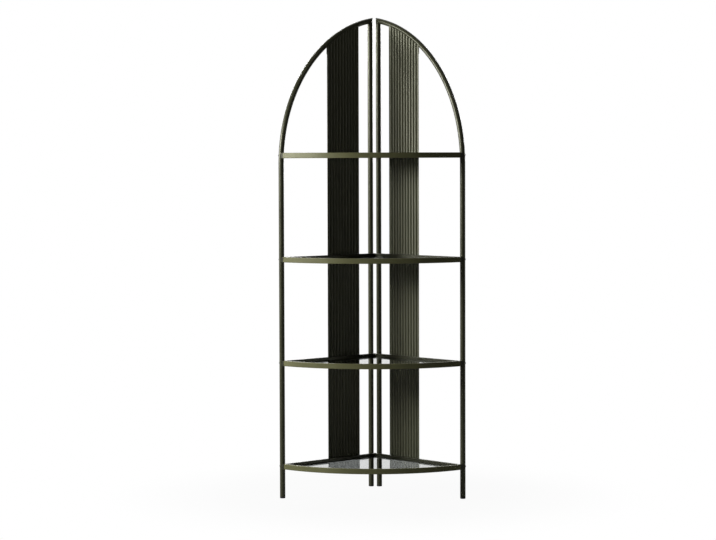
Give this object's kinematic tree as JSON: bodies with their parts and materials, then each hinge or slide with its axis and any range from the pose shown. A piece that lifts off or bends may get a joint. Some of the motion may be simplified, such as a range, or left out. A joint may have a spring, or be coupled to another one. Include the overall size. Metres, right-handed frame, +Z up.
{
  "type": "corner etagere",
  "caption": "Quarter-round corner etagere of arched tube side frames with fluted metal panels and sector-shaped glass shelves in metal rims.",
  "frame": {"origin": "middle of the footprint's bounding box, on the floor", "axes": "+Z up; -Y towards the curved front, +Y towards the back corner; +X to the viewer's right"},
  "size_m": [0.6944, 0.4803, 1.8],
  "materials": {
    "frame_paint": "satin dark olive powder coat",
    "shelf_paint": "satin dark olive powder coat",
    "panel_paint": "satin dark olive powder coat on fluted sheet",
    "smoked_glass": "polished, lightly smoked grey glass",
    "foot_plastic": "moulded black plastic",
    "spacer_plastic": "moulded black plastic",
    "pad_rubber": "soft grey elastomer",
    "fastener_steel": "blackened steel"
  },
  "bodies": {
    "root": {"left_back_post": "frame_paint", "left_front_bow": "frame_paint", "left_fluted_panel": "panel_paint", "left_front_foot": "foot_plastic", "left_back_foot": "foot_plastic", "right_back_post": "frame_paint", "right_front_bow": "frame_paint", "right_fluted_panel": "panel_paint", "right_front_foot": "foot_plastic", "right_back_foot": "foot_plastic", "bottom_shelf_left_rail": "frame_paint", "bottom_shelf_right_rail": "frame_paint", "bottom_shelf_front_rim": "shelf_paint", "bottom_shelf_glass": "smoked_glass", "bottom_shelf_glass_lugs": "shelf_paint", "bottom_shelf_glass_pads": "pad_rubber", "lower_shelf_left_rail": "frame_paint", "lower_shelf_right_rail": "frame_paint", "lower_shelf_front_rim": "shelf_paint", "lower_shelf_glass": "smoked_glass", "lower_shelf_glass_lugs": "shelf_paint", "lower_shelf_glass_pads": "pad_rubber", "upper_shelf_left_rail": "frame_paint", "upper_shelf_right_rail": "frame_paint", "upper_shelf_front_rim": "shelf_paint", "upper_shelf_glass": "smoked_glass", "upper_shelf_glass_lugs": "shelf_paint", "upper_shelf_glass_pads": "pad_rubber", "top_shelf_left_rail": "frame_paint", "top_shelf_right_rail": "frame_paint", "top_shelf_front_rim": "shelf_paint", "top_shelf_glass": "smoked_glass", "top_shelf_glass_lugs": "shelf_paint", "top_shelf_glass_pads": "pad_rubber", "shelf_bolts": "fastener_steel", "saddle_spacers": "spacer_plastic", "panel_screws": "fastener_steel", "panel_top_tabs": "frame_paint"}
  },
  "joints": []
}
